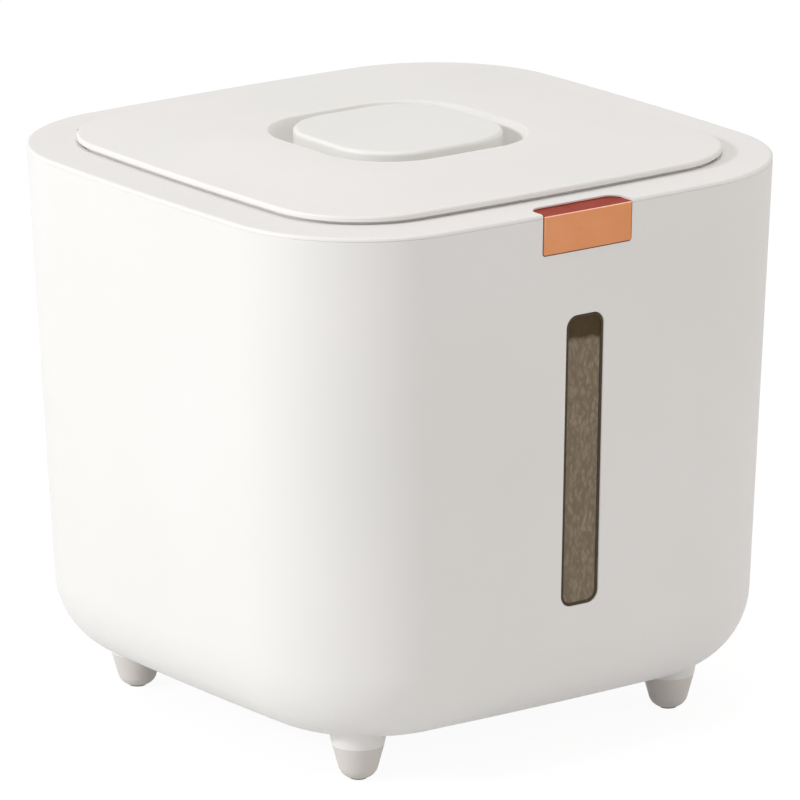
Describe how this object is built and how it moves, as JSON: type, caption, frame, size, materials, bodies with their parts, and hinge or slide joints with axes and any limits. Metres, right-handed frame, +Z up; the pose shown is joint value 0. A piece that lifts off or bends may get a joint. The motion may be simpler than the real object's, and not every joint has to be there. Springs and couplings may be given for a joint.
{
  "type": "rice storage container",
  "caption": "Rounded square rice bin on small feet, with a pop-up hinged lid, a press latch, a level window and a lift-out freshness capsule in a finger moat",
  "frame": {"origin": "middle of the outline on the floor, under the feet", "axes": "+Z up, -Y to the front with the window and the latch, +X to the right seen from the front"},
  "size_m": [0.2499, 0.2504, 0.2367],
  "materials": {
    "white_shell": "satin white moulding",
    "white_inner": "plain white moulding",
    "foot_grey": "warm grey moulding",
    "pad_rubber": "soft grey",
    "steel": "plain",
    "smoked_pane": "smoked clear",
    "dark_seal": "dark brown",
    "pale_seal": "pale silicone",
    "copper": "copper plated"
  },
  "bodies": {
    "bin": {"outer_body": "white_shell", "top_frame": "white_shell", "window_pane": "smoked_pane", "window_gasket": "dark_seal", "foot_front_left": "foot_grey", "foot_front_right": "foot_grey", "foot_rear_left": "foot_grey", "foot_rear_right": "foot_grey", "foot_pad_front_left": "pad_rubber", "foot_pad_front_right": "pad_rubber", "foot_pad_rear_left": "pad_rubber", "foot_pad_rear_right": "pad_rubber", "foot_screws": "steel", "hinge_pin": "steel", "pin_clips": "steel", "hinge_spring_left": "steel", "hinge_spring_right": "steel", "latch_springs": "steel", "latch_retainer": "white_inner", "latch_screws": "steel"},
    "lid": {"lid_cover": "white_shell", "lid_panel": "white_inner", "lid_gasket": "pale_seal", "lid_screws": "steel"},
    "latch": {"latch_button": "copper", "latch_slider": "white_inner"},
    "capsule": {"capsule_cap": "white_shell", "capsule_cup": "white_inner", "capsule_seal": "pale_seal"}
  },
  "joints": [
    {"name": "lid_hinge", "type": "hinge", "parent": "bin", "child": "lid", "pos_m": [0, 0.0971, 0.2283], "axis": [-1, 0, 0], "range_deg": [0, 90], "deforming": ["hinge_spring_left", "hinge_spring_right"]},
    {"name": "latch_press", "type": "slide", "parent": "bin", "child": "latch", "axis": [0, 1, 0], "range_m": [0, 0.0025], "stiffness_N_per_m": 600, "deforming": ["latch_springs"]},
    {"name": "capsule_lift", "type": "slide", "parent": "lid", "child": "capsule", "axis": [0, 0, 1], "range_m": [0, 0.045]}
  ]
}
